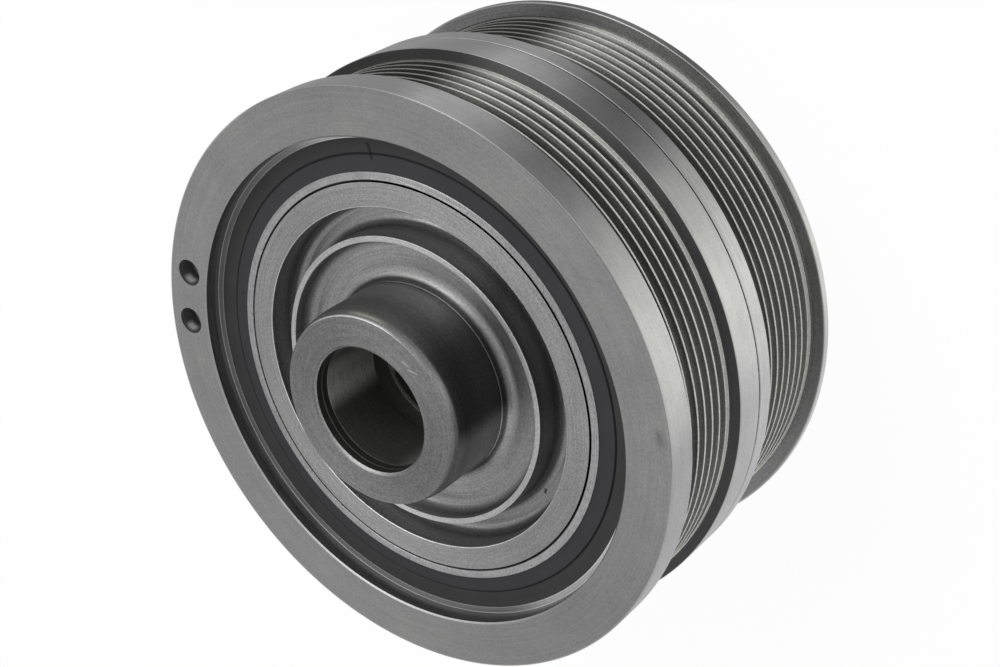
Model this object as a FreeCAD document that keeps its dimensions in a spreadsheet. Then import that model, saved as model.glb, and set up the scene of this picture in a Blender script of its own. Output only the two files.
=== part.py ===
import FreeCAD, Part
import Sketcher
import math
import os

# Harmonic balancer of a car engine: a cast hub turned all over, with a nose for the shaft
# seal, and an inertia ring that rides on a bonded rubber ring. One belt track is cut in
# the inertia ring and the other in the pulley rim that belongs to the hub's casting.
# +Z runs along the crankshaft to the engine. The part lies on the pulley rim's far end.
# Sizes are in millimetres and degrees.

doc = FreeCAD.newDocument("harmonic_balancer")

SIZES = [
    ("body_length", 84.5, "far end of the pulley rim to the ring's engine face"),
    ("land_dia", 168.2, "plain bands beside the belt tracks"),
    ("edge_break", 0.6, "chamfer of the pulley rim's far corner"),
    ("rib_pitch", 3.56, "spacing of the belt grooves"),
    ("rib_flat", 0.5, "flat on top of each rib"),
    ("groove_angle", 40, "included angle of a belt groove"),
    ("ring_grooves", 6, "grooves in the inertia ring"),
    ("ring_track_depth", 2.9, "plain band to the rib tops of the inertia ring"),
    ("ring_rib_dia", "=land_dia - 2 * ring_track_depth", "rib tops of the inertia ring"),
    ("ring_track_drop", 9.4, "engine face to the start of the ring's track"),
    ("ring_track_edge", 2.95, "side wall of the track to the middle of the nearest groove"),
    ("ring_length", 44.05, "inertia ring along the axis"),
    ("joint_gap", 0.5, "free gap between the ring and the pulley rim"),
    ("pulley_grooves", 8, "grooves in the pulley rim"),
    ("pulley_track_depth", 4.1, "plain band to the rib tops of the pulley rim"),
    ("pulley_rib_dia", "=land_dia - 2 * pulley_track_depth", "rib tops of the pulley rim"),
    ("pulley_land", 5.55, "plain band between the gap and the pulley's track"),
    ("pulley_track_edge", 3.2, "side wall to the middle of the nearest groove"),
    ("pulley_wall", 11.6, "plain band to the inside of the pulley rim"),
    ("dish_dia", "=land_dia - 2 * pulley_wall", "inside of the pulley rim, open to the far end"),
    ("flange_thickness", 11.0, "disc that carries the pulley rim"),
    ("face_width", 13.6, "engine face of the ring, from its edge to the counterbore"),
    ("ring_recess_dia", "=land_dia - 2 * face_width", "counterbore in the ring's engine face"),
    ("recess_drop", 5.4, "engine face to the face of the hub's rim"),
    ("ledge_width", 1.85, "floor of the counterbore, outside the rubber"),
    ("rubber_outer_dia", "=ring_recess_dia - 2 * ledge_width", "rubber, and the ring's bore"),
    ("rubber_drop", 0.4, "rubber below the end of the sleeve"),
    ("rubber_length", 34.6, "sleeve along the axis, and the rubber's far end"),
    ("rubber_wall", 9.1, "thickness of the rubber"),
    ("sleeve_outer_dia", "=rubber_outer_dia - 2 * rubber_wall", "steel sleeve in the rubber"),
    ("sleeve_wall", 2.3, "thickness of the sleeve"),
    ("rim_dia", "=sleeve_outer_dia - 2 * sleeve_wall", "hub's rim, and the sleeve's bore"),
    ("rim_wall", 7.35, "thickness of the hub's rim"),
    ("rim_inner_dia", "=rim_dia - 2 * rim_wall", "inside of the hub's rim"),
    ("outer_floor_drop", 15.1, "engine face to the floor inside the rim"),
    ("recess_width", 7.65, "outer recess, between the rim and the lip"),
    ("lip_outer_dia", "=rim_inner_dia - 2 * recess_width", "thin lip between the recesses"),
    ("lip_wall", 1.7, "thickness of the lip"),
    ("lip_drop", 4.65, "engine face to the top of the lip"),
    ("inner_floor_drop", 10.4, "engine face to the floor round the nose"),
    ("foot_chamfer", 1.5, "corners where the recess walls meet their floors"),
    ("nose_height", 13.2, "nose beyond the ring's engine face"),
    ("nose_dia", 56.4, "running surface of the seal"),
    ("nose_face_dia", 54.0, "end face of the nose, inside its lead-in"),
    ("lead_in_length", 3.4, "lead-in that the seal slides over"),
    ("flare_drop", 7.55, "engine face to the start of the nose's flared foot"),
    ("flare_dia", 60.0, "flared foot of the nose, at the floor"),
    ("bore_dia", 36.0, "bore for the crankshaft"),
    ("mouth_chamfer", 0.7, "chamfer at the mouth of the bore"),
    ("relief_dia", 38.2, "relief turned in the bore"),
    ("relief_drop", 11.2, "engine face to the start of the relief"),
    ("relief_length", 6.6, "relief along the axis"),
    ("shoulder_height", 26.0, "far end to the shoulder that stops the crankshaft"),
    ("bolt_hole_dia", 17.0, "hole for the crankshaft's bolt"),
    ("boss_dia", 72.0, "boss that the bolt's washer bears on"),
    ("boss_height", 10.0, "far end to the face of the boss"),
    ("web_thickness", 14.0, "web under the floor of the outer recess"),
    ("throat_wall", 7.25, "thickness of the casting round its throat"),
    ("throat_dia", "=rim_dia - 2 * throat_wall", "throat between the web and the flange"),
    ("puller_circle", 58.0, "circle of the tapped holes for a puller"),
    ("puller_hole_dia", 6.8, "tapping size of those holes"),
    ("puller_hole_depth", 14.0, "their depth"),
    ("puller_holes", 3, "their number"),
    ("balance_inset", 7.1, "edge of the engine face to the middle of the balance holes"),
    ("balance_circle", "=land_dia - 2 * balance_inset", "circle of the drilled balance holes"),
    ("balance_dia", 8.0, "balance drill"),
    ("balance_depth", 5.5, "full depth of the balance holes"),
    ("balance_first", 37.4, "first balance hole, turned from +X"),
    ("balance_step", 11.8, "angle from it to the second"),
]
BALANCE_HOLES = 2
DRILL_POINT = 118
OVERCUT = 1.0

sheet = doc.addObject("Spreadsheet::Sheet", "Sizes")
for row, (alias, value, meaning) in enumerate(SIZES, start=1):
    sheet.set("A%d" % row, alias)
    sheet.set("B%d" % row, str(value))
    sheet.set("C%d" % row, meaning)
    sheet.setAlias("B%d" % row, alias)
doc.recompute()


def size(alias):
    """Expression that reads one cell of the sheet."""
    return "Sizes." + alias


def half(alias):
    return "(Sizes.%s / 2)" % alias


def below(height, alias):
    """Expression of the height that lies one size below another."""
    return "(%s - %s)" % (height, size(alias))


def new_body(name):
    body = doc.addObject("PartDesign::Body", name)
    body.Label = name
    body.Placement = FreeCAD.Placement()
    return body


def plane_sketch(body, name, role):
    sketch = body.newObject("Sketcher::SketchObject", name)
    plane = [item for item in body.Origin.OriginFeatures if item.Role == role][0]
    sketch.AttachmentSupport = [(plane, "")]
    sketch.MapMode = "FlatFace"
    return sketch


def bind(sketch, constraint, expression):
    number = sketch.addConstraint(constraint)
    sketch.setExpression("Constraints[%d]" % number, expression)


def outline_sketch(body, name, corners):
    """Closed outline in the XZ plane. A corner is its name, its radius and its height, the
    last two as expressions. The corners start spread round a circle, and the sizes move
    each one to its place."""
    sketch = plane_sketch(body, name, "XZ_Plane")
    count = len(corners)
    spread = 40
    starts = []
    for number in range(count):
        turn = 2 * math.pi * number / count
        x = 1.5 * spread + spread * math.cos(turn)
        y = 1.5 * spread + spread * math.sin(turn)
        starts.append(FreeCAD.Vector(x, y, 0))
    for number in range(count):
        line = Part.LineSegment(starts[number], starts[(number + 1) % count])
        sketch.addGeometry(line, False)
    for number in range(count):
        following = (number + 1) % count
        sketch.addConstraint(Sketcher.Constraint("Coincident", number, 2, following, 1))
    for number, (corner, radius, height) in enumerate(corners):
        across = Sketcher.Constraint("DistanceX", -1, 1, number, 1, starts[number].x)
        bind(sketch, across, radius)
        if height == "0":
            sketch.addConstraint(Sketcher.Constraint("PointOnObject", number, 1, -1))
        else:
            up = Sketcher.Constraint("DistanceY", -1, 1, number, 1, starts[number].y)
            bind(sketch, up, height)
    return sketch


def turn_outline(body, kind, name, corners):
    """Full turn of an outline round Z: Revolution adds it to the body, Groove cuts it."""
    sketch = outline_sketch(body, name + "_outline", corners)
    feature = body.newObject("PartDesign::" + kind, name)
    feature.Profile = sketch
    feature.ReferenceAxis = (sketch, ["V_Axis"])
    feature.Angle = 360
    doc.recompute()
    return feature


def chamfer_corners(body, name, turned, corners, chosen, alias):
    """Chamfer on the circular edges that some corners of a turned outline have swept."""
    points = []
    for number, (corner, radius, height) in enumerate(corners):
        if corner in chosen:
            points.append(turned.Profile[0].Geometry[number].StartPoint)
    edges = []
    for number, edge in enumerate(body.Shape.Edges, start=1):
        if not isinstance(edge.Curve, Part.Circle):
            continue
        for point in points:
            same_radius = abs(edge.Curve.Radius - point.x) < 0.001
            same_height = abs(edge.Curve.Center.z - point.y) < 0.001
            if same_radius and same_height:
                edges.append("Edge%d" % number)
    base = body.Tip
    feature = body.newObject("PartDesign::Chamfer", name)
    feature.Base = (base, edges)
    feature.setExpression("Size", size(alias))
    doc.recompute()
    return feature


def belt_track(body, name, top, rib_dia, edge, count):
    """Sunk band with a row of V grooves in its floor. top is the height of its upper wall,
    the other three are names on the sheet. The grooves meet their flanks at a sharp root."""
    row_length = "((%s - 1) * %s)" % (size(count), size("rib_pitch"))
    bottom = "(%s - 2 * %s - %s)" % (top, size(edge), row_length)
    outside = "(%s + %s)" % (half("land_dia"), OVERCUT)
    turn_outline(body, "Groove", name + "_band", [
        ("top_inside", half(rib_dia), top),
        ("top_outside", outside, top),
        ("bottom_outside", outside, bottom),
        ("bottom_inside", half(rib_dia), bottom),
    ])
    middle = below(top, edge)
    slope = "tan(%s / 2)" % size("groove_angle")
    half_mouth = "((%s - %s) / 2)" % (size("rib_pitch"), size("rib_flat"))
    half_width = "(%s + %s * %s)" % (half_mouth, OVERCUT, slope)
    outer = "(%s + %s)" % (half(rib_dia), OVERCUT)
    root = "(%s - %s / %s)" % (half(rib_dia), half_mouth, slope)
    groove = turn_outline(body, "Groove", name + "_groove", [
        ("root", root, middle),
        ("upper_mouth", outer, "(%s + %s)" % (middle, half_width)),
        ("lower_mouth", outer, "(%s - %s)" % (middle, half_width)),
    ])
    row = body.newObject("PartDesign::LinearPattern", name + "_row")
    row.Originals = [groove]
    row.Direction = (groove.Profile[0], ["V_Axis"])
    row.Reversed = True
    row.setExpression("Length", row_length)
    row.setExpression("Occurrences", size(count))
    body.Tip = row
    doc.recompute()


# Heights along the axis, from the far end of the pulley rim
engine_face = size("body_length")
rim_face = below(engine_face, "recess_drop")
ring_end = below(engine_face, "ring_length")
pulley_face = below(ring_end, "joint_gap")
rubber_end = below(rim_face, "rubber_length")
nose_face = "(%s + %s)" % (engine_face, size("nose_height"))
inner_floor = below(engine_face, "inner_floor_drop")
outer_floor = below(engine_face, "outer_floor_drop")
lip_top = below(engine_face, "lip_drop")
flange_far = below(pulley_face, "flange_thickness")
web_far = below(outer_floor, "web_thickness")
lip_inner = below(half("lip_outer_dia"), "lip_wall")

# Hub: nose, floors, lip, rim, flange, pulley rim, web and boss are one turned casting
hub = new_body("hub")
hub_corners = [
    ("bore_at_nose", half("bolt_hole_dia"), nose_face),
    ("nose_edge", half("nose_face_dia"), nose_face),
    ("lead_in_end", half("nose_dia"), below(nose_face, "lead_in_length")),
    ("flare_start", half("nose_dia"), below(engine_face, "flare_drop")),
    ("flare_foot", half("flare_dia"), inner_floor),
    ("lip_inner_foot", lip_inner, inner_floor),
    ("lip_inner_edge", lip_inner, lip_top),
    ("lip_outer_edge", half("lip_outer_dia"), lip_top),
    ("lip_outer_foot", half("lip_outer_dia"), outer_floor),
    ("rim_foot", half("rim_inner_dia"), outer_floor),
    ("rim_inner_edge", half("rim_inner_dia"), rim_face),
    ("rim_outer_edge", half("rim_dia"), rim_face),
    ("rim_root", half("rim_dia"), pulley_face),
    ("pulley_edge", half("land_dia"), pulley_face),
    ("far_edge", half("land_dia"), "0"),
    ("dish_edge", half("dish_dia"), "0"),
    ("dish_foot", half("dish_dia"), flange_far),
    ("throat_edge", half("throat_dia"), flange_far),
    ("throat_foot", half("throat_dia"), web_far),
    ("boss_foot", half("boss_dia"), web_far),
    ("boss_edge", half("boss_dia"), size("boss_height")),
    ("bore_at_boss", half("bolt_hole_dia"), size("boss_height")),
]
recess_feet = ["lip_inner_foot", "lip_outer_foot", "rim_foot"]
hub_blank = turn_outline(hub, "Revolution", "hub_blank", hub_corners)
chamfer_corners(hub, "recess_feet", hub_blank, hub_corners, recess_feet, "foot_chamfer")
chamfer_corners(hub, "far_chamfer", hub_blank, hub_corners, ["far_edge"], "edge_break")

# Crankshaft bore with its chamfered mouth, its relief and the shoulder at its end
inside = "(%s - %s)" % (half("bolt_hole_dia"), OVERCUT)
relief_top = below(engine_face, "relief_drop")
relief_end = below(relief_top, "relief_length")
turn_outline(hub, "Groove", "crank_bore", [
    ("axis_side_top", inside, nose_face),
    ("mouth_edge", "(%s + %s)" % (half("bore_dia"), size("mouth_chamfer")), nose_face),
    ("mouth_end", half("bore_dia"), below(nose_face, "mouth_chamfer")),
    ("relief_upper_edge", half("bore_dia"), relief_top),
    ("relief_upper_root", half("relief_dia"), relief_top),
    ("relief_lower_root", half("relief_dia"), relief_end),
    ("relief_lower_edge", half("bore_dia"), relief_end),
    ("shoulder_root", half("bore_dia"), size("shoulder_height")),
    ("axis_side_bottom", inside, size("shoulder_height")),
])

# Blind tapped holes for a puller, drilled into the face of the boss
puller_mark = plane_sketch(hub, "puller_mark", "XY_Plane")
puller_mark.setExpression("AttachmentOffset.Base.z", size("boss_height"))
upright = FreeCAD.Vector(0, 0, 1)
puller_mark.addGeometry(Part.Circle(FreeCAD.Vector(30, 0, 0), upright, 3), False)
puller_mark.addConstraint(Sketcher.Constraint("PointOnObject", 0, 3, -1))
bind(puller_mark, Sketcher.Constraint("DistanceX", -1, 1, 0, 3, 30), half("puller_circle"))
bind(puller_mark, Sketcher.Constraint("Diameter", 0, 6), size("puller_hole_dia"))
puller_hole = hub.newObject("PartDesign::Pocket", "puller_hole")
puller_hole.Profile = puller_mark
puller_hole.Reversed = True
puller_hole.setExpression("Length", size("puller_hole_depth"))
doc.recompute()
puller_ring = hub.newObject("PartDesign::PolarPattern", "puller_ring")
puller_ring.Originals = [puller_hole]
puller_ring.Axis = (puller_mark, ["N_Axis"])
puller_ring.Angle = 360
puller_ring.setExpression("Occurrences", size("puller_holes"))
hub.Tip = puller_ring
doc.recompute()

# Belt track of the pulley rim
pulley_track_top = below(pulley_face, "pulley_land")
belt_track(
    hub, "pulley_track", pulley_track_top,
    "pulley_rib_dia", "pulley_track_edge", "pulley_grooves",
)

# Steel sleeve, pressed on the hub's rim
sleeve = new_body("inner_sleeve")
turn_outline(sleeve, "Revolution", "sleeve_tube", [
    ("inner_top", half("rim_dia"), rim_face),
    ("outer_top", half("sleeve_outer_dia"), rim_face),
    ("outer_bottom", half("sleeve_outer_dia"), rubber_end),
    ("inner_bottom", half("rim_dia"), rubber_end),
])

# Rubber, bonded between the sleeve and the inertia ring
rubber = new_body("damper_rubber")
rubber_face = below(rim_face, "rubber_drop")
turn_outline(rubber, "Revolution", "rubber_band", [
    ("inner_top", half("sleeve_outer_dia"), rubber_face),
    ("outer_top", half("rubber_outer_dia"), rubber_face),
    ("outer_bottom", half("rubber_outer_dia"), rubber_end),
    ("inner_bottom", half("sleeve_outer_dia"), rubber_end),
])

# Inertia ring, its counterbored engine face and its belt track
ring = new_body("inertia_ring")
ring_corners = [
    ("recess_edge", half("ring_recess_dia"), engine_face),
    ("face_edge", half("land_dia"), engine_face),
    ("far_edge", half("land_dia"), ring_end),
    ("far_bore", half("rubber_outer_dia"), ring_end),
    ("recess_step", half("rubber_outer_dia"), rim_face),
    ("recess_foot", half("ring_recess_dia"), rim_face),
]
turn_outline(ring, "Revolution", "ring_blank", ring_corners)
ring_track_top = below(engine_face, "ring_track_drop")
belt_track(
    ring, "ring_track", ring_track_top,
    "ring_rib_dia", "ring_track_edge", "ring_grooves",
)

# Balance holes drilled into the engine face, with the drill's cone at their bottoms
balance_mark = plane_sketch(ring, "balance_mark", "XY_Plane")
balance_mark.setExpression("AttachmentOffset.Base.z", engine_face)
for hole in range(BALANCE_HOLES):
    start = FreeCAD.Vector(60 - 10 * hole, 45 + 10 * hole, 0)
    balance_mark.addGeometry(Part.Circle(start, upright, 3), False)
    turn = "(%s + %d * %s)" % (size("balance_first"), hole, size("balance_step"))
    across = Sketcher.Constraint("DistanceX", -1, 1, hole, 3, start.x)
    up = Sketcher.Constraint("DistanceY", -1, 1, hole, 3, start.y)
    bind(balance_mark, across, "%s * cos(%s)" % (half("balance_circle"), turn))
    bind(balance_mark, up, "%s * sin(%s)" % (half("balance_circle"), turn))
    bind(balance_mark, Sketcher.Constraint("Diameter", hole, 6), size("balance_dia"))
doc.recompute()
balance_drill = ring.newObject("PartDesign::Hole", "balance_drill")
balance_drill.Profile = balance_mark
balance_drill.ThreadType = "None"
balance_drill.DepthType = "Dimension"
balance_drill.DrillPoint = "Angled"
balance_drill.DrillPointAngle = DRILL_POINT
balance_drill.setExpression("Diameter", size("balance_dia"))
balance_drill.setExpression("Depth", size("balance_depth"))
doc.recompute()

# Every object is sound before a piece is written
for item in doc.Objects:
    if "Invalid" in item.State or "Error" in item.State:
        raise RuntimeError("failed: %s %s" % (item.Name, item.State))
pieces = [hub, sleeve, rubber, ring]
for piece in pieces:
    if piece.Shape.isNull() or not piece.Shape.isValid() or len(piece.Shape.Solids) != 1:
        raise RuntimeError("bad shape: " + piece.Label)

os.makedirs("parts", exist_ok=True)
for piece in pieces:
    piece.Shape.exportStep("parts/%s.step" % piece.Label)
    print("%s %.1f cm3" % (piece.Label, piece.Shape.Volume / 1000))
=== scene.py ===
import math
from types import SimpleNamespace
import bmesh
import bpy
from mathutils import Matrix, Vector


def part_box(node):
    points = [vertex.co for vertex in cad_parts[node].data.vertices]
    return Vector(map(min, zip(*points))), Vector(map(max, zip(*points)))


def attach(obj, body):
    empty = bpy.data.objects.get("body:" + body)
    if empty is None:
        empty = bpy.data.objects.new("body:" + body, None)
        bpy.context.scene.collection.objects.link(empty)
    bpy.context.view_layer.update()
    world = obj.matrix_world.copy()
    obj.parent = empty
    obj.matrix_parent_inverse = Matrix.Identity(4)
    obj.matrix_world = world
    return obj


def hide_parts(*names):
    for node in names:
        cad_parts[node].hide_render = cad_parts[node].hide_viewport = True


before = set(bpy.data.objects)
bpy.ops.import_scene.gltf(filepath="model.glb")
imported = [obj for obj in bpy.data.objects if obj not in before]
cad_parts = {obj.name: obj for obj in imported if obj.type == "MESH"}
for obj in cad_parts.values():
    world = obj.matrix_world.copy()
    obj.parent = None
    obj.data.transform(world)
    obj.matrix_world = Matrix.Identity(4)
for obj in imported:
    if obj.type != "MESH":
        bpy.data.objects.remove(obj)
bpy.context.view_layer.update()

# Hub
# One iron casting, turned all over: the nose that the oil seal runs on, floors with a thin
# lip, the rim, and the pulley rim with eight belt grooves. Its far side is an open dish,
# with a boss for the crankshaft's bolt and three holes round it for a puller.
MM = 0.001
LAND_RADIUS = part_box("inertia_ring")[1].x / MM
ENGINE_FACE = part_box("inertia_ring")[1].z / MM
JOINT_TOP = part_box("inertia_ring")[0].z / MM
NOSE_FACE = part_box("hub")[1].z / MM
RIM_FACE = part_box("inner_sleeve")[1].z / MM
PULLEY_FACE = JOINT_TOP - 0.5
INNER_FLOOR = ENGINE_FACE - 10.4
OUTER_FLOOR = ENGINE_FACE - 15.1
LIP_TOP = ENGINE_FACE - 4.65
RELIEF_TOP = ENGINE_FACE - 11.2
RELIEF_END = RELIEF_TOP - 6.6
FLANGE_FAR = PULLEY_FACE - 11.0
WEB_FAR = OUTER_FLOOR - 14.0
SHOULDER = 26.0
BOSS_FACE = 10.0
BOLT_RADIUS = 8.5
BORE_RADIUS = 18.0
RELIEF_RADIUS = 19.1
NOSE_END_RADIUS = 27.0
NOSE_RADIUS = 28.2
FLARE_RADIUS = 31.0
BOSS_RADIUS = 36.0
LIP_INSIDE = 40.55
LIP_OUTSIDE = 42.25
RIM_INSIDE = 49.9
THROAT_RADIUS = 50.0
RIM_EDGE = 56.72
SLEEVE_BORE = 57.25
DISH_RADIUS = 72.5
PULLEY_RIB_RADIUS = 80.0
FACETS = 192
CORE_RADIUS = 10.0
ARC_STEP = math.radians(22)
EDGE_GUARD = 0.12
SHARP = math.radians(40)
WELD = 0.002


def rounded(corners, closed=False):
    """Section line in mm. A corner is a radius, a height and the round that it gets. Each
    round is an arc, with a guard point beyond both ends that keeps the flats flat."""
    points = []
    count = len(corners)
    for number, (radius, height, turn_radius) in enumerate(corners):
        here = Vector((radius, height))
        if turn_radius == 0 or (not closed and number in (0, count - 1)):
            points.append(here)
            continue
        back = Vector(corners[number - 1][:2]) - here
        ahead = Vector(corners[(number + 1) % count][:2]) - here
        opening = back.angle(ahead)
        reach = turn_radius / math.tan(opening / 2)
        start = here + back.normalized() * reach
        end = here + ahead.normalized() * reach
        middle = here + (back.normalized() + ahead.normalized()).normalized() * (
            turn_radius / math.sin(opening / 2)
        )
        steps = max(2, math.ceil((math.pi - opening) / ARC_STEP))
        if back.length - reach > 3 * EDGE_GUARD:
            points.append(start + back.normalized() * EDGE_GUARD)
        for step in range(steps + 1):
            arm = (start - middle).slerp(end - middle, step / steps)
            points.append(middle + arm.normalized() * turn_radius)
        if ahead.length - reach > 3 * EDGE_GUARD:
            points.append(end + ahead.normalized() * EDGE_GUARD)
    if closed:
        points.append(points[0])
    return points


def turning_tree():
    """Geometry Nodes of a lathe: the section line is repeated along the axis, then swept
    once round it."""
    tree = bpy.data.node_groups.new("turning", "GeometryNodeTree")
    face = tree.interface
    face.new_socket("Section", in_out="INPUT", socket_type="NodeSocketGeometry")
    face.new_socket("Repeats", in_out="INPUT", socket_type="NodeSocketInt")
    face.new_socket("Pitch", in_out="INPUT", socket_type="NodeSocketFloat")
    face.new_socket("Facets", in_out="INPUT", socket_type="NodeSocketInt")
    face.new_socket("Core Radius", in_out="INPUT", socket_type="NodeSocketFloat")
    face.new_socket("Material", in_out="INPUT", socket_type="NodeSocketMaterial")
    face.new_socket("Turned", in_out="OUTPUT", socket_type="NodeSocketGeometry")

    def add(kind, **sockets):
        node = tree.nodes.new(kind)
        for name, value in sockets.items():
            socket = node.inputs[name.replace("_", " ")]
            if isinstance(value, bpy.types.NodeSocket):
                tree.links.new(value, socket)
            else:
                socket.default_value = value
        return node

    given = add("NodeGroupInput").outputs
    step = add("ShaderNodeCombineXYZ", Y=given["Pitch"]).outputs[0]
    places = add("GeometryNodeMeshLine", Count=given["Repeats"], Offset=step).outputs[0]
    rows = add("GeometryNodeInstanceOnPoints", Points=places, Instance=given["Section"])
    lines = add("GeometryNodeRealizeInstances", Geometry=rows.outputs[0]).outputs[0]
    joined = add("GeometryNodeMergeByDistance", Geometry=lines, Distance=WELD / 2 * MM)
    curve = add("GeometryNodeMeshToCurve", Mesh=joined.outputs[0]).outputs[0]
    circle = add(
        "GeometryNodeCurvePrimitiveCircle",
        Resolution=given["Facets"], Radius=given["Core Radius"],
    ).outputs[0]
    swept = add("GeometryNodeCurveToMesh", Curve=circle, Profile_Curve=curve).outputs[0]
    smooth = add("GeometryNodeSetShadeSmooth", Geometry=swept).outputs[0]
    real = add("GeometryNodeRealizeInstances", Geometry=smooth).outputs[0]
    painted = add("GeometryNodeSetMaterial", Geometry=real, Material=given["Material"])
    output = tree.nodes.new("NodeGroupOutput")
    tree.links.new(painted.outputs[0], output.inputs["Turned"])
    return tree


TURNING = turning_tree()


def turned(name, sections, material):
    """One closed piece from its section lines, each with its repeats along the axis."""
    whole = bmesh.new()
    for points, repeats, pitch in sections:
        line = bpy.data.meshes.new(name + "_section")
        spots = [((x - CORE_RADIUS) * MM, -y * MM, 0) for x, y in points]
        line.from_pydata(spots, [(k, k + 1) for k in range(len(spots) - 1)], [])
        blank = bpy.data.objects.new(name + "_section", line)
        bpy.context.scene.collection.objects.link(blank)
        lathe = blank.modifiers.new("lathe", "NODES")
        lathe.node_group = TURNING
        given = {
            "Repeats": repeats, "Pitch": pitch * MM, "Facets": FACETS,
            "Core Radius": CORE_RADIUS * MM, "Material": material,
        }
        for item in TURNING.interface.items_tree:
            if item.name in given:
                lathe[item.identifier] = given[item.name]
        seen = blank.evaluated_get(bpy.context.evaluated_depsgraph_get())
        made = bpy.data.meshes.new_from_object(seen)
        whole.from_mesh(made)
        bpy.data.objects.remove(blank)
    bmesh.ops.remove_doubles(whole, verts=whole.verts, dist=WELD * MM)
    bmesh.ops.recalc_face_normals(whole, faces=whole.faces)
    mesh = bpy.data.meshes.new(name)
    whole.to_mesh(mesh)
    whole.free()
    mesh.materials.append(material)
    mesh.set_sharp_from_angle(angle=SHARP)
    piece = bpy.data.objects.new(name, mesh)
    bpy.context.scene.collection.objects.link(piece)
    return piece


def drilled(piece, radius, angles, circle, face, depth, point):
    """Blind holes in a flat face. They run up from it, or down where the depth is below 0.
    Point is the length of the drill's cone, beyond the full depth."""
    for angle in angles:
        drill = bmesh.new()
        bmesh.ops.create_cone(
            drill, cap_ends=True, segments=48, radius1=radius * MM, radius2=radius * MM,
            depth=abs(depth) * 2 * MM,
        )
        bottom = [side for side in drill.faces if side.normal.z * depth > 0.9]
        poked = bmesh.ops.poke(drill, faces=bottom)
        for vert in poked["verts"]:
            vert.co.z += math.copysign(point, depth) * MM
        mesh = bpy.data.meshes.new("drill")
        drill.to_mesh(mesh)
        drill.free()
        way = Vector((math.cos(math.radians(angle)), math.sin(math.radians(angle)), 0))
        mesh.transform(Matrix.Translation((way * circle + Vector((0, 0, face))) * MM))
        cutter = bpy.data.objects.new("drill", mesh)
        bpy.context.scene.collection.objects.link(cutter)
        cut = piece.modifiers.new("hole", "BOOLEAN")
        cut.operation = "DIFFERENCE"
        cut.object = cutter
        cut.solver = "EXACT"
        seen = piece.evaluated_get(bpy.context.evaluated_depsgraph_get())
        bored = bpy.data.meshes.new_from_object(seen)
        piece.modifiers.clear()
        piece.data = bored
        bpy.data.objects.remove(cutter)
    piece.data.set_sharp_from_angle(angle=SHARP)


class Wire:
    """One output in a material's tree. Arithmetic on it adds Math nodes."""

    def __init__(self, tree, output):
        self.tree = tree
        self.output = output

    def node(self, kind, settings, sockets, out=0):
        """Any node: its settings first, then the values or wires of its sockets."""
        made = self.tree.nodes.new(kind)
        for setting, value in settings.items():
            setattr(made, setting, value)
        for socket, value in sockets.items():
            if isinstance(value, Wire):
                self.tree.links.new(value.output, made.inputs[socket])
            else:
                made.inputs[socket].default_value = value
        return Wire(self.tree, made.outputs[out])

    def math(self, operation, first, second=0.0):
        return self.node("ShaderNodeMath", {"operation": operation}, {0: first, 1: second})

    def __add__(self, other):
        return self.math("ADD", self, other)

    __radd__ = __add__

    def __sub__(self, other):
        return self.math("SUBTRACT", self, other)

    def __rsub__(self, other):
        return self.math("SUBTRACT", other, self)

    def __mul__(self, other):
        return self.math("MULTIPLY", self, other)

    __rmul__ = __mul__

    def __truediv__(self, other):
        return self.math("DIVIDE", self, other)

    def between(self, low, high):
        """0 at low and below, 1 at high and above, smooth between. High may be the lesser."""
        return self.node(
            "ShaderNodeMapRange", {"interpolation_type": "SMOOTHSTEP"},
            {"Value": self, "From Min": low, "From Max": high},
        )

    def band(self, low, high, soft):
        """1 between low and high, 0 outside."""
        return self.between(low - soft, low + soft) * (1 - self.between(high - soft, high + soft))

    def blend(self, first, second):
        """First value where this is 0, second where it is 1."""
        return self.node("ShaderNodeMix", {}, {0: self, 2: first, 3: second})


def screen(level):
    """Linear reflectance of a grey that shows as this level, 0 to 255."""
    return ((level / 255 + 0.055) / 1.055) ** 2.4


def new_material(name):
    """Material with its shader, and the place on the piece in several readings, in mm."""
    material = bpy.data.materials.new(name)
    material.use_nodes = True
    tree = material.node_tree
    shader = tree.nodes["Principled BSDF"]
    vector = Wire(tree, tree.nodes.new("ShaderNodeTexCoord").outputs["Object"])
    split = tree.nodes.new("ShaderNodeSeparateXYZ")
    tree.links.new(vector.output, split.inputs[0])
    x, y, z = (Wire(tree, output) / MM for output in split.outputs)
    radius = x.math("SQRT", x * x + y * y)
    turn = x.math("ARCTAN2", y, x)
    return material, shader, SimpleNamespace(
        vector=vector, x=x, y=y, height=z, radius=radius, turn=turn,
    )


def plug(shader, socket, wire):
    wire.tree.links.new(wire.output, shader.inputs[socket])


def plug_grey(shader, level, warmth):
    """Base colour from a linear grey, pulled to olive where warmth is above 0 and to a cold
    grey where it is below."""
    colour = level.node(
        "ShaderNodeCombineXYZ", {},
        {0: level * (1 + warmth * 0.2), 1: level * (1 + warmth * 0.3), 2: level * (1 - warmth)},
    )
    plug(shader, "Base Color", colour)


def turning_marks(at, fineness):
    """Fine lines left by the cutting tool, which run round the axis: 0 to 1."""
    way_round = at.turn.math("ABSOLUTE", at.turn)
    place = at.x.node(
        "ShaderNodeCombineXYZ", {},
        {0: at.radius * fineness, 1: at.height * fineness, 2: way_round * 1.5},
    )
    return at.x.node(
        "ShaderNodeTexNoise", {}, {"Vector": place, "Scale": 1.0, "Detail": 3.0, "Roughness": 0.7}
    )


def mottle(at, size_mm, detail=3.0):
    """Uneven patches of about the given size: 0 to 1."""
    return at.x.node(
        "ShaderNodeTexNoise", {},
        {"Vector": at.vector, "Scale": 1 / (size_mm * MM), "Detail": detail, "Roughness": 0.6},
    )


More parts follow.
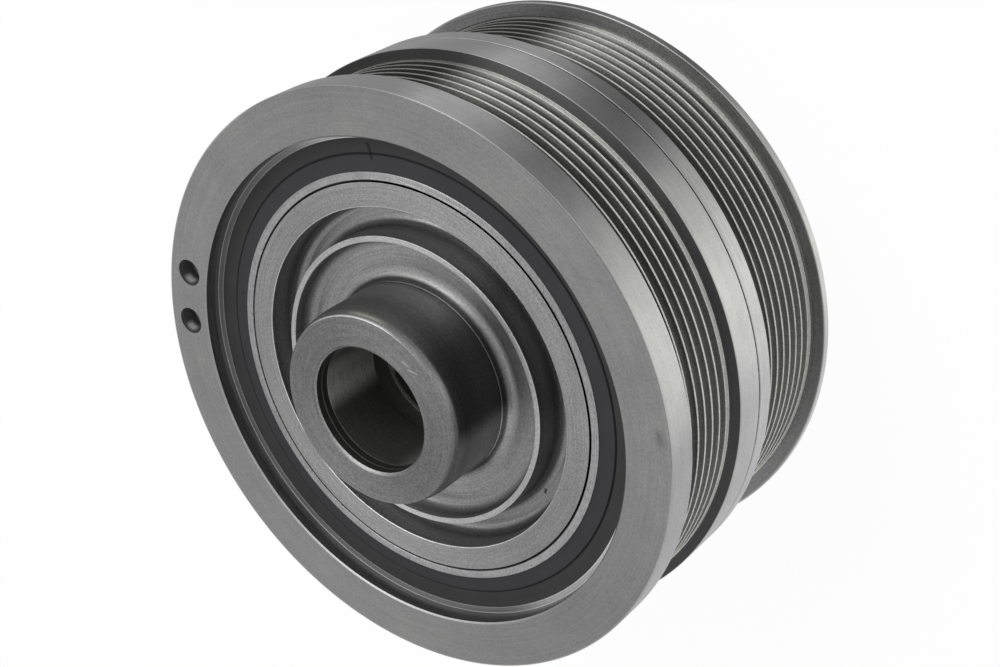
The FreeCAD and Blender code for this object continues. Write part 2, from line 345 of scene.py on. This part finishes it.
def stroke(at, start, end, width):
    """1 along a short straight mark between two places given as a radius and degrees."""
    first, last = (
        Vector((reach * math.cos(math.radians(angle)), reach * math.sin(math.radians(angle))))
        for reach, angle in (start, end)
    )
    length = (last - first).length
    way = (last - first) / length
    along = (at.x - first.x) * way.x + (at.y - first.y) * way.y
    aside = (at.x - first.x) * way.y - (at.y - first.y) * way.x
    return along.band(0, length, 0.3) * aside.band(-width / 2, width / 2, width / 3)


def spot(at, place, reach_mm):
    """1 at a place given as a radius and degrees, fading to 0 at its reach."""
    x = at.x - place[0] * math.cos(math.radians(place[1]))
    y = at.y - place[0] * math.sin(math.radians(place[1]))
    return x.math("SQRT", x * x + y * y).between(reach_mm, 0)


def machined(shader, lines, patches):
    """What all the turned faces share: their gloss and the fine relief of the tool's lines."""
    plug(shader, "Roughness", 0.44 + (patches - 0.5) * 0.12 + (lines - 0.5) * 0.1)
    shader.inputs["Anisotropic"].default_value = 0.6
    bump = lines.node(
        "ShaderNodeBump", {}, {"Strength": 0.3, "Distance": 0.01 * MM, "Height": lines}
    )
    plug(shader, "Normal", bump)


def around(at, start, end, soft):
    """1 from start to end degrees round the axis, 0 outside. The camera stands at -90."""
    return at.turn.band(math.radians(start), math.radians(end), math.radians(soft))


def past_the_lamp(at):
    """The side that turns away from the lamp, near the far edge of the photograph."""
    return around(at, -45, -5, 7)


def painted_sheen(at):
    """Painted highlight: the two paler sides that turned lines give a flat face under the lamp, -1
    to 1 round the axis.
    """
    return at.turn.math("COSINE", (at.turn + math.radians(62)) * 2)


def groove_painted_light(at, rib_radius):
    """Grooves, with painted shade and painted reflection: dark at their mouths on the side that
    faces the camera, deeper down less so, and painted dark past the lamp."""
    shallow = at.radius.between(rib_radius - 2.0, rib_radius - 0.3)
    front = around(at, -162, -84, 12)
    side = around(at, -162, -103, 8)
    depth_tone = 1 + front * (0.1 - shallow * 0.5) + side * (1 - shallow) * 0.5
    return screen(132) * depth_tone * (1 - past_the_lamp(at) * 0.92)


def tip_painted_light(at):
    """Flat tops of the ribs: pale, with painted shade past the lamp."""
    return past_the_lamp(at).blend(screen(205), screen(112))


def band_painted_light(at):
    """The plain bands: painted reflection, pale where they would mirror the lit floor, and painted
    shade in two stretches.
    """
    bright = around(at, -121, -99, 8) * 0.2 + around(at, -58, -46, 5) * 0.12
    painted_dim = around(at, -77, -64, 8) * 0.36 + past_the_lamp(at) * 0.34
    return screen(176) * (1 + bright - painted_dim)


def nose_painted_reflection(at, on_nose):
    """Painted reflection of what stands round the ground nose: a dark band in front, pale beside
    it, and painted shade, a little less light, at its foot."""
    wall = on_nose * (1 - at.height.between(NOSE_FACE - 3.0, NOSE_FACE - 2.0))
    dark_band = at.turn.between(math.radians(-142), math.radians(-126))
    dark_band = dark_band * at.turn.between(math.radians(-62), math.radians(-92))
    tone = 0.75 - dark_band * 0.45 + around(at, -168, -134, 8) * 0.9
    foot = 1 - at.height.between(ENGINE_FACE - 4, ENGINE_FACE + 1)
    tone = tone * (1 - foot * around(at, -56, 10, 12) * 0.25)
    return 1 + wall * (tone - 1)


def bore_painted_light(at):
    """Painted light in the bore: pale on the side that the lamp reaches, and dark across from it.
    """
    pale = around(at, 28, 66, 12) * 0.6 + around(at, 54, 66, 10) * 0.35
    return screen(200) * (0.4 - around(at, 15, 158, 12) * 0.25 + pale)


def hub_places(at):
    """Where on the hub a point lies: a mask for each surface that has a tone of its own."""
    above_floor = at.height.between(INNER_FLOOR - 0.6, INNER_FLOOR + 1.4)
    nose_end_height = at.height.between(NOSE_FACE - 0.4, NOSE_FACE - 0.1)
    in_bore = at.radius.between(RELIEF_RADIUS + 0.2, RELIEF_RADIUS + 0.05)
    in_bore = in_bore * (1 - at.height.between(NOSE_FACE - 0.9, NOSE_FACE - 0.7))
    lip_height = at.height.band(LIP_TOP - 0.25, LIP_TOP + 0.25, 0.05)
    rim_height = at.height.between(RIM_FACE - 0.5, RIM_FACE - 0.3)
    under_rim_face = at.height.between(RIM_FACE - 0.05, RIM_FACE - 0.2)
    return SimpleNamespace(
        nose=at.radius.between(NOSE_RADIUS + 3.3, NOSE_RADIUS + 1.3) * above_floor,
        nose_end=at.radius.between(NOSE_END_RADIUS + 0.6, NOSE_END_RADIUS) * nose_end_height,
        bore=in_bore,
        relief=in_bore * at.radius.between(BORE_RADIUS + 0.3, BORE_RADIUS + 0.6),
        mouth=in_bore * at.height.between(NOSE_FACE - 5.4, NOSE_FACE - 4.9),
        lip=lip_height * at.radius.band(LIP_INSIDE - 0.25, LIP_OUTSIDE + 0.25, 0.1),
        lip_wall=(1 - lip_height) * at.radius.band(LIP_OUTSIDE - 0.15, LIP_OUTSIDE + 0.35, 0.1),
        rim_edge=rim_height * at.radius.band(RIM_INSIDE - 0.1, RIM_INSIDE + 0.25, 0.05),
        joint=under_rim_face * at.radius.band(RIM_EDGE - 0.22, SLEEVE_BORE + 0.25, 0.05),
        bands=at.radius.between(LAND_RADIUS - 1.1, LAND_RADIUS - 0.3),
        wall=at.radius.band(PULLEY_RIB_RADIUS + 0.3, LAND_RADIUS - 0.5, 0.2),
        track=at.radius.band(DISH_RADIUS + 0.3, PULLEY_RIB_RADIUS + 0.3, 0.2),
        rib_tip=at.radius.band(PULLEY_RIB_RADIUS - 0.15, PULLEY_RIB_RADIUS + 0.04, 0.02),
    )


def hub_level(at, on):
    """Grey of the hub's metal, surface by surface, with painted reflections, highlights and shade.
    """
    level = nose_painted_reflection(at, on.nose) * on.nose.blend(screen(146), screen(140))
    level = on.nose_end.blend(level, screen(118))
    level = on.bore.blend(level, bore_painted_light(at))
    level = on.relief.blend(level, screen(108))
    level = on.mouth.blend(level, screen(60))
    level = on.lip.blend(level, screen(176))
    # Painted shade on the lip's outer wall, on the side that faces the camera.
    level = level * (1 - on.lip_wall * around(at, -130, -74, 10) * 0.45)
    # Painted highlight: a thin pale line along the rim's inner edge.
    level = on.rim_edge.blend(level, screen(200))
    # Painted shade deepens the narrow joint between the rim and the sleeve.
    level = on.joint.blend(level, screen(60))
    level = on.bands.blend(level, band_painted_light(at))
    # Painted shade on the wall beside the grooves, past the lamp.
    level = on.wall.blend(level, screen(138) * (1 - past_the_lamp(at) * 0.4))
    level = on.track.blend(level, groove_painted_light(at, PULLEY_RIB_RADIUS))
    return on.rib_tip.blend(level, tip_painted_light(at))


hub_iron, shader, at = new_material("hub_iron")
on = hub_places(at)
lines = turning_marks(at, 2.4)
patches = mottle(at, 12.0)
speckle = mottle(at, 0.55, 2.0)
scuffs = stroke(at, (22.6, -75), (23.0, -81), 0.4) + stroke(at, (22.2, -82), (23.8, -88), 0.4)
pit_depth = at.height.between(OUTER_FLOOR + 0.6, OUTER_FLOOR + 0.3)
pit = stroke(at, (44.9, -166.3), (45.7, -168.3), 0.9) * pit_depth
flat = (1 - on.bands) * (1 - on.track)
grain = 1 + (lines - 0.5) * 0.9 + (speckle - 0.5) * (1.1 - on.bands * 0.7)
grain = grain + (patches - 0.5) * (0.25 + on.bands * 0.25)
# Painted sheen: the flat faces are paler on two sides round the axis.
grain = grain * (1 + flat * (0.17 + painted_sheen(at) * 0.2)) * (1 - pit * 0.7)
# Painted highlights on the nose: glints on its lead-in and a pale line at its end edge.
lead_in = at.height.band(NOSE_FACE - 2.6, NOSE_FACE - 1.0, 0.4)
lead_in = lead_in * at.radius.band(NOSE_END_RADIUS, NOSE_RADIUS + 0.1, 0.1)
thin = at.height.band(NOSE_FACE - 1.9, NOSE_FACE - 1.2, 0.2)
painted_edge_glint = at.height.band(NOSE_FACE - 0.6, NOSE_FACE - 0.1, 0.05)
painted_edge_glint = painted_edge_glint * at.radius.between(NOSE_END_RADIUS - 0.4, NOSE_END_RADIUS - 0.2)
front_glint = around(at, -114, -94, 8) * 0.13
side_glint = around(at, -52, -32, 6) * (0.1 + thin * 0.3)
painted_glints = lead_in * (front_glint + side_glint) + painted_edge_glint * around(at, -60, 0, 10) * 0.4
# The warmth on the lead-in tints the painted glint.
warmth = on.track * 0.04 + lead_in * around(at, -55, -30, 6) * 0.1
warmth = warmth + on.bore * (0.02 + around(at, 80, 140, 15) * 0.06)
warmth = warmth + on.bands * around(at, -118, -88, 8) * 0.03 + (patches - 0.5) * 0.04
plug_grey(shader, hub_level(at, on) * grain + scuffs * on.nose_end * 0.2 + painted_glints, warmth)
plug(shader, "Metallic", 1 - on.rib_tip * 0.8 - on.bore * 0.4)
machined(shader, lines, patches)

RIB_PITCH = 3.56
RIB_FLAT = 0.5
RIB_ROUND = 0.12
GROOVE_SLOPE = math.tan(math.radians(20))
GROOVE_ROOT_ROUND = 0.5


def groove_section(rib_radius, middle):
    """One belt groove, from the middle of one rib's top to the next."""
    half_mouth = (RIB_PITCH - RIB_FLAT) / 2
    depth = half_mouth / GROOVE_SLOPE
    return rounded([
        (rib_radius, middle + RIB_PITCH / 2, 0),
        (rib_radius, middle + half_mouth, RIB_ROUND),
        (rib_radius - depth, middle, GROOVE_ROOT_ROUND),
        (rib_radius, middle - half_mouth, RIB_ROUND),
        (rib_radius, middle - RIB_PITCH / 2, 0),
    ])


PULLEY_GROOVES = 8
PULLEY_LAND = 5.55
PULLEY_EDGE = 3.2
pulley_track_top = PULLEY_FACE - PULLEY_LAND
pulley_first = pulley_track_top - PULLEY_EDGE
pulley_last = pulley_first - (PULLEY_GROOVES - 1) * RIB_PITCH
pulley_track_bottom = pulley_last - PULLEY_EDGE
mouth_rings = []
for ring_drop in (5.2, 3.0):
    mouth_rings += [
        (BORE_RADIUS, NOSE_FACE - ring_drop, 0.05),
        (BORE_RADIUS + 0.2, NOSE_FACE - ring_drop + 0.3, 0.05),
        (BORE_RADIUS + 0.02, NOSE_FACE - ring_drop + 0.6, 0.05),
    ]
hub_outline = rounded([
    (PULLEY_RIB_RADIUS, pulley_last - RIB_PITCH / 2, 0),
    (PULLEY_RIB_RADIUS, pulley_track_bottom, 0.1),
    (LAND_RADIUS, pulley_track_bottom - 0.4, 0.3),
    (LAND_RADIUS, 0, 0.7),
    (DISH_RADIUS, 0, 0.5),
    (DISH_RADIUS, FLANGE_FAR, 3.0),
    (THROAT_RADIUS, FLANGE_FAR, 2.0),
    (THROAT_RADIUS, WEB_FAR, 4.0),
    (BOSS_RADIUS, WEB_FAR, 4.0),
    (BOSS_RADIUS, BOSS_FACE, 1.0),
    (BOLT_RADIUS, BOSS_FACE, 0.5),
    (BOLT_RADIUS, SHOULDER, 0.3),
    (BORE_RADIUS, SHOULDER, 0.5),
    (BORE_RADIUS, RELIEF_END, 0.15),
    (RELIEF_RADIUS, RELIEF_END, 0.3),
    (RELIEF_RADIUS, RELIEF_TOP, 0.3),
    (BORE_RADIUS, RELIEF_TOP, 0.15),
    *mouth_rings,
    (BORE_RADIUS + 0.05, NOSE_FACE - 0.7, 0.1),
    (BORE_RADIUS + 0.75, NOSE_FACE, 0.1),
    (NOSE_END_RADIUS, NOSE_FACE, 0.5),
    (NOSE_RADIUS, NOSE_FACE - 3.4, 14.0),
    (NOSE_RADIUS, ENGINE_FACE - 7.5, 0.1),
    (NOSE_RADIUS + 0.2, ENGINE_FACE - 7.7, 0.1),
    (NOSE_RADIUS + 0.6, INNER_FLOOR + 1.0, 2.0),
    (FLARE_RADIUS, INNER_FLOOR, 4.0),
    (LIP_INSIDE, INNER_FLOOR, 3.0),
    (LIP_INSIDE, LIP_TOP, 0.2),
    (LIP_OUTSIDE, LIP_TOP, 0.2),
    (LIP_OUTSIDE, OUTER_FLOOR, 2.6),
    (RIM_INSIDE, OUTER_FLOOR, 2.6),
    (RIM_INSIDE, RIM_FACE, 0.25),
    (RIM_EDGE, RIM_FACE, 0.12),
    (RIM_EDGE, RIM_FACE - 1.2, 0.1),
    (SLEEVE_BORE, RIM_FACE - 1.3, 0),
    (SLEEVE_BORE, PULLEY_FACE, 0.5),
    (LAND_RADIUS, PULLEY_FACE, 0.3),
    (LAND_RADIUS, pulley_track_top, 0.3),
    (PULLEY_RIB_RADIUS, pulley_track_top, 0.1),
    (PULLEY_RIB_RADIUS, pulley_first + RIB_PITCH / 2, 0),
])
hub = turned("turned_hub", [
    (hub_outline, 1, 0),
    (groove_section(PULLEY_RIB_RADIUS, pulley_first), PULLEY_GROOVES, RIB_PITCH),
], hub_iron)
PULLER_RADIUS = 3.4
PULLER_CIRCLE = 29.0
PULLER_DEPTH = 14.0
drilled(hub, PULLER_RADIUS, (0, 120, 240), PULLER_CIRCLE, BOSS_FACE, PULLER_DEPTH, 0)
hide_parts("hub")
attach(hub, "root")

# Inner sleeve
# A thin steel tube that the rubber is bonded to, pressed on the hub's rim. Its end face is
# bright turned steel, with nicks from the press and a fine dark joint beside it, deepened with
# painted shade.
SLEEVE_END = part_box("inner_sleeve")[0].z / MM
SLEEVE_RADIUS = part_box("inner_sleeve")[1].x / MM
SLEEVE_INSIDE = SLEEVE_BORE + 0.05
sleeve_steel, shader, at = new_material("sleeve_steel")
lines = turning_marks(at, 3.0)
patches = mottle(at, 5.0)
nicks = mottle(at, 1.2, 4.0).between(0.58, 0.68)
scratch = stroke(at, (58.9, -38), (58.6, -62), 0.25) + stroke(at, (57.9, -30), (58.2, -46), 0.2)
across = at.x.node(
    "ShaderNodeCombineXYZ", {}, {0: (at.x + at.y) * 2.2, 1: (at.x - at.y) * 0.5, 2: at.height}
)
hatch = at.x.node(
    "ShaderNodeTexNoise", {}, {"Vector": across, "Scale": 1.0, "Detail": 2.0, "Roughness": 0.7}
)
grain = 1 + (lines - 0.5) * 0.9 + (hatch - 0.5) * 1.1 + (patches - 0.5) * 0.4
grain = grain - nicks * 0.3 + scratch * 0.35
plug_grey(shader, screen(168) * grain, (patches - 0.5) * 0.06 - 0.012)
shader.inputs["Metallic"].default_value = 1.0
machined(shader, lines, patches)
shader.inputs["Anisotropic Rotation"].default_value = 0.25
sleeve = turned("turned_sleeve", [(rounded([
    (SLEEVE_INSIDE, RIM_FACE, 0.25),
    (SLEEVE_INSIDE, SLEEVE_END, 0.3),
    (SLEEVE_RADIUS, SLEEVE_END, 0.3),
    (SLEEVE_RADIUS, RIM_FACE, 0.25),
], closed=True), 1, 0)], sleeve_steel)
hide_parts("inner_sleeve")
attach(sleeve, "root")

# Damper rubber
# A black rubber ring, moulded and bonded between the sleeve and the inertia ring. Its end
# is slightly hollow, with a moulding crease round it, and dusty grey from handling.
RUBBER_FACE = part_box("damper_rubber")[1].z / MM
RUBBER_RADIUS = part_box("damper_rubber")[1].x / MM
CREASE_RADIUS = 64.2
black_rubber, shader, at = new_material("black_rubber")
patches = mottle(at, 9.0, 5.0)
grain = mottle(at, 0.4)
ink = stroke(at, (67.2, -31.7), (62.7, -32.2), 0.9)
speck = spot(at, (61.6, 39.1), 0.9)
dust_and_crease_shade = 1 + (patches - 0.5) * 0.6 + (grain - 0.5) * 0.35 - ink * 0.8 - speck * 0.7
# Painted shade: darker in the moulding crease.
dust_and_crease_shade = dust_and_crease_shade * (1 - at.radius.band(CREASE_RADIUS - 0.25, CREASE_RADIUS + 0.25, 0.1) * 0.6)
inner_half = at.radius.between(CREASE_RADIUS + 0.5, CREASE_RADIUS - 0.5)
plug_grey(shader, screen(50) * dust_and_crease_shade, (patches - 0.5) * 0.1 - inner_half * 0.08 - 0.01)
plug(shader, "Roughness", 0.7 + (patches - 0.5) * 0.2)
shader.inputs["Specular IOR Level"].default_value = 0.3
bump = grain.node("ShaderNodeBump", {}, {"Strength": 0.4, "Distance": 0.05 * MM, "Height": grain})
plug(shader, "Normal", bump)
rubber = turned("moulded_rubber", [(rounded([
    (SLEEVE_RADIUS, RUBBER_FACE, 0),
    (61.0, RUBBER_FACE - 0.25, 0.6),
    (CREASE_RADIUS - 0.35, RUBBER_FACE - 0.3, 0.1),
    (CREASE_RADIUS, RUBBER_FACE - 0.8, 0.1),
    (CREASE_RADIUS + 0.35, RUBBER_FACE - 0.45, 0.1),
    (67.2, RUBBER_FACE - 0.3, 0.6),
    (RUBBER_RADIUS, RUBBER_FACE, 0),
    (RUBBER_RADIUS, SLEEVE_END, 0),
    (64.0, SLEEVE_END + 0.5, 2.0),
    (SLEEVE_RADIUS, SLEEVE_END, 0),
], closed=True), 1, 0)], black_rubber)
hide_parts("damper_rubber")
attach(rubber, "root")

# Inertia ring
# The heavy iron ring that the rubber carries, turned all over: a counterbored engine face
# with two drilled balance holes, two plain bands, and six belt grooves between them.
RING_RIB_RADIUS = 81.2
RING_GROOVES = 6
RING_EDGE = 2.95
RING_TRACK_TOP = ENGINE_FACE - 9.4
COUNTERBORE_RADIUS = 70.5
BALANCE_CIRCLE = 77.0
BALANCE_RADIUS = 4.0
BALANCE_DEPTH = 5.5
BALANCE_ANGLES = (37.4, 49.2)


def balance_marks(at):
    """The balance holes, and the painted light patch in each, on the wall that faces the lamp."""
    hole_height = at.height.band(ENGINE_FACE - BALANCE_DEPTH - 3.0, ENGINE_FACE - 0.05, 0.05)
    in_holes = 0
    painted_lit_patch = 0
    for angle in BALANCE_ANGLES:
        x = at.x - BALANCE_CIRCLE * math.cos(math.radians(angle))
        y = at.y - BALANCE_CIRCLE * math.sin(math.radians(angle))
        reach = x.math("SQRT", x * x + y * y)
        hole = hole_height * reach.between(BALANCE_RADIUS + 0.1, BALANCE_RADIUS + 0.03)
        in_holes = hole + in_holes
        # Painted light: a pale patch on the wall of each hole that faces the lamp.
        painted_lit_patch = hole * x.band(-2.4, 0.2, 0.8) + painted_lit_patch
    return in_holes, painted_lit_patch * at.height.band(ENGINE_FACE - 3.4, ENGINE_FACE - 1.2, 0.8)


def ring_places(at):
    """Where on the ring a point lies: a mask for each surface that has a tone of its own."""
    under_face = at.height.between(ENGINE_FACE - 0.5, ENGINE_FACE - 0.6)
    under_land = at.height.between(RING_TRACK_TOP + 0.1, RING_TRACK_TOP - 0.1)
    in_track = under_land * at.radius.band(RING_RIB_RADIUS - 4.7, RING_RIB_RADIUS + 0.3, 0.2)
    in_holes, painted_lit_patch = balance_marks(at)
    counterbore = at.radius.between(COUNTERBORE_RADIUS + 0.1, COUNTERBORE_RADIUS - 0.05)
    mouth_edge = at.radius.between(COUNTERBORE_RADIUS + 0.5, COUNTERBORE_RADIUS + 0.35)
    return SimpleNamespace(
        face=1 - under_face,
        bands=at.radius.between(LAND_RADIUS - 0.6, LAND_RADIUS - 0.2),
        track=in_track,
        rib_tip=in_track * at.radius.band(RING_RIB_RADIUS - 0.15, RING_RIB_RADIUS + 0.04, 0.02),
        wall=under_face * at.radius.band(RING_RIB_RADIUS + 0.15, LAND_RADIUS - 0.17, 0.05),
        mouth_edge=(1 - under_face) * mouth_edge,
        counterbore=under_face * counterbore,
        ledge=under_face * at.radius.between(COUNTERBORE_RADIUS - 0.1, COUNTERBORE_RADIUS - 0.2),
        holes=in_holes,
        painted_lit_patch=painted_lit_patch,
    )


def ring_level(at, on, lines):
    """Grey of the ring's metal, surface by surface, with painted reflections, lit patches and
    shade.
    """
    level = on.bands.blend(screen(145), band_painted_light(at))
    level = on.track.blend(level, groove_painted_light(at, RING_RIB_RADIUS))
    # Painted shade: the wall beside the grooves is dark, darkest past the lamp.
    level = on.wall.blend(level, screen(76) * (1 - past_the_lamp(at) * 0.6))
    level = on.rib_tip.blend(level, tip_painted_light(at))
    level = on.mouth_edge.blend(level, screen(160))
    level = on.counterbore.blend(level, screen(150))
    shaded_side = around(at, -15, 172, 8) * (0.2 + lines * 0.7)
    level = on.ledge.blend(level, screen(190) * (1 - shaded_side))
    return on.holes.blend(level, screen(90) + on.painted_lit_patch * 0.6)


ring_iron, shader, at = new_material("ring_iron")
on = ring_places(at)
lines = turning_marks(at, 2.4)
patches = mottle(at, 15.0)
speckle = mottle(at, 0.55, 2.0)
smudge = spot(at, (80.9, -122.1), 2.2) + spot(at, (81.1, -123.6), 2.4)
flat = (1 - on.bands) * (1 - on.track)
face_edge = on.face * at.radius.band(LAND_RADIUS - 0.4, LAND_RADIUS - 0.2, 0.05)
grain = 1 + (lines - 0.5) * (0.5 + on.track * 0.3 + on.counterbore * 1.9)
grain = grain + (speckle - 0.5) * (0.55 + on.track * 0.55 - on.bands * 0.15)
grain = grain + (patches - 0.5) * (0.3 + on.bands * 0.25) - smudge * on.face * 0.28
# Painted sheen: the flat faces are paler on two sides round the axis.
grain = grain * (1 + flat * painted_sheen(at) * 0.06)
# Painted shade: a thin dark line along the face's outer edge, on the side that faces the camera.
grain = grain * (1 - face_edge * around(at, -130, -72, 5) * 0.6)
warmth = on.track * 0.04 + on.bands * around(at, -118, -88, 8) * 0.03 + (patches - 0.5) * 0.04
plug_grey(shader, ring_level(at, on, lines) * grain, warmth)
plug(shader, "Metallic", 1 - on.rib_tip * 0.8 - on.ledge * 0.3 - on.holes * 0.8)
machined(shader, lines, patches)
ring_first = RING_TRACK_TOP - RING_EDGE
ring_last = ring_first - (RING_GROOVES - 1) * RIB_PITCH
ring_track_bottom = ring_last - RING_EDGE
ring_outline = rounded([
    (RING_RIB_RADIUS, ring_last - RIB_PITCH / 2, 0),
    (RING_RIB_RADIUS, ring_track_bottom, 0.1),
    (LAND_RADIUS, ring_track_bottom - 1.0, 0.3),
    (LAND_RADIUS, JOINT_TOP, 0.3),
    (RUBBER_RADIUS, JOINT_TOP, 0.5),
    (RUBBER_RADIUS, RIM_FACE, 0.15),
    (COUNTERBORE_RADIUS, RIM_FACE, 0.3),
    (COUNTERBORE_RADIUS, ENGINE_FACE - 0.45, 0.1),
    (COUNTERBORE_RADIUS + 0.45, ENGINE_FACE, 0.1),
    (LAND_RADIUS, ENGINE_FACE, 0.2),
    (LAND_RADIUS, RING_TRACK_TOP - 0.25, 0.3),
    (RING_RIB_RADIUS, RING_TRACK_TOP, 0.1),
    (RING_RIB_RADIUS, ring_first + RIB_PITCH / 2, 0),
])
ring = turned("turned_ring", [
    (ring_outline, 1, 0),
    (groove_section(RING_RIB_RADIUS, ring_first), RING_GROOVES, RIB_PITCH),
], ring_iron)
drill_point = BALANCE_RADIUS / math.tan(math.radians(59))
drilled(
    ring, BALANCE_RADIUS, BALANCE_ANGLES, BALANCE_CIRCLE, ENGINE_FACE, -BALANCE_DEPTH, drill_point,
)
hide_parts("inertia_ring")
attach(ring, "root")

# Stage
# A plain pale floor under the pulley's end, one soft studio lamp, and the camera at the
# photograph's angle. The floor is white to the camera, and the metal mirrors it as pale
# and dark stretches, like the cards of a studio.
FLOOR_SIZE = 6.0
bpy.ops.mesh.primitive_plane_add(size=FLOOR_SIZE)
floor = bpy.context.object
floor.name = "floor"
floor_paint = bpy.data.materials.new("pale_floor")
floor_paint.use_nodes = True
tree = floor_paint.node_tree
tree.nodes.clear()
rays = tree.nodes.new("ShaderNodeLightPath").outputs
sight = Wire(tree, rays["Is Camera Ray"])
gloss = Wire(tree, rays["Is Glossy Ray"])
split = tree.nodes.new("ShaderNodeSeparateXYZ")
tree.links.new(tree.nodes.new("ShaderNodeTexCoord").outputs["Object"], split.inputs[0])
floor_x = Wire(tree, split.outputs[0]) / MM
# Painted reflection: for glossy rays the floor glows paler on one side and darker in a stretch,
# and the metal mirrors that.
painted_glow_side = floor_x.between(15.0, -30.0) - floor_x.between(-80.0, -120.0) * 0.6
painted_dark_stretch = floor_x.band(22.0, 78.0, 15.0)
painted_reflection_glow = 0.75 + painted_glow_side * 0.55 - painted_dark_stretch * 0.42
matt = sight.node("ShaderNodeBsdfDiffuse", {}, {"Color": (0.85, 0.85, 0.85, 1)})
bright = sight.node(
    "ShaderNodeEmission", {}, {"Color": (1, 1, 1, 1), "Strength": sight + gloss * painted_reflection_glow},
)
share = sight * 0.95 + gloss
surface = sight.node("ShaderNodeMixShader", {}, {0: share, 1: matt, 2: bright})
paint_output = tree.nodes.new("ShaderNodeOutputMaterial")
tree.links.new(surface.output, paint_output.inputs["Surface"])
floor.data.materials.append(floor_paint)

WORLD_STRENGTH = 0.8
world = bpy.data.worlds.new("studio")
bpy.context.scene.world = world
world.use_nodes = True
world.node_tree.nodes["Background"].inputs["Color"].default_value = (1, 1, 1, 1)
world.node_tree.nodes["Background"].inputs["Strength"].default_value = WORLD_STRENGTH


def direction(azimuth, elevation):
    """Unit vector from the part towards an azimuth and an elevation, in degrees."""
    turn = math.radians(azimuth)
    rise = math.radians(elevation)
    return Vector((
        math.cos(turn) * math.cos(rise), math.sin(turn) * math.cos(rise), math.sin(rise),
    ))


LAMP_DISTANCE = 1.0
key_box = bpy.data.lights.new("key_box", "AREA")
key_box.size = 0.5
key_box.energy = 3.0
lamp = bpy.data.objects.new("key_box", key_box)
bpy.context.scene.collection.objects.link(lamp)
to_lamp = direction(azimuth=-12, elevation=50)
lamp.location = to_lamp * LAMP_DISTANCE + Vector((0, 0, ENGINE_FACE * MM / 2))
lamp.rotation_euler = to_lamp.to_track_quat("Z", "Y").to_euler()

AIM_POINT = Vector((-1.98, -43.13, ENGINE_FACE)) * MM
CAMERA_DISTANCE = 427.6 * MM
CAMERA_ROLL = math.radians(-123.81)
camera = bpy.data.objects.new("camera", bpy.data.cameras.new("camera"))
bpy.context.scene.collection.objects.link(camera)
camera.data.lens = 61.88
camera.data.sensor_width = 36.0
camera.data.clip_start = 0.01
to_camera = direction(azimuth=-89.62, elevation=45.664)
upright = to_camera.to_track_quat("Z", "Y").to_matrix()
rolled = upright @ Matrix.Rotation(CAMERA_ROLL, 3, "Z")
camera.matrix_world = Matrix.Translation(AIM_POINT + to_camera * CAMERA_DISTANCE) @ rolled.to_4x4()
bpy.context.scene.camera = camera
bpy.context.scene.view_settings.view_transform = "Standard"
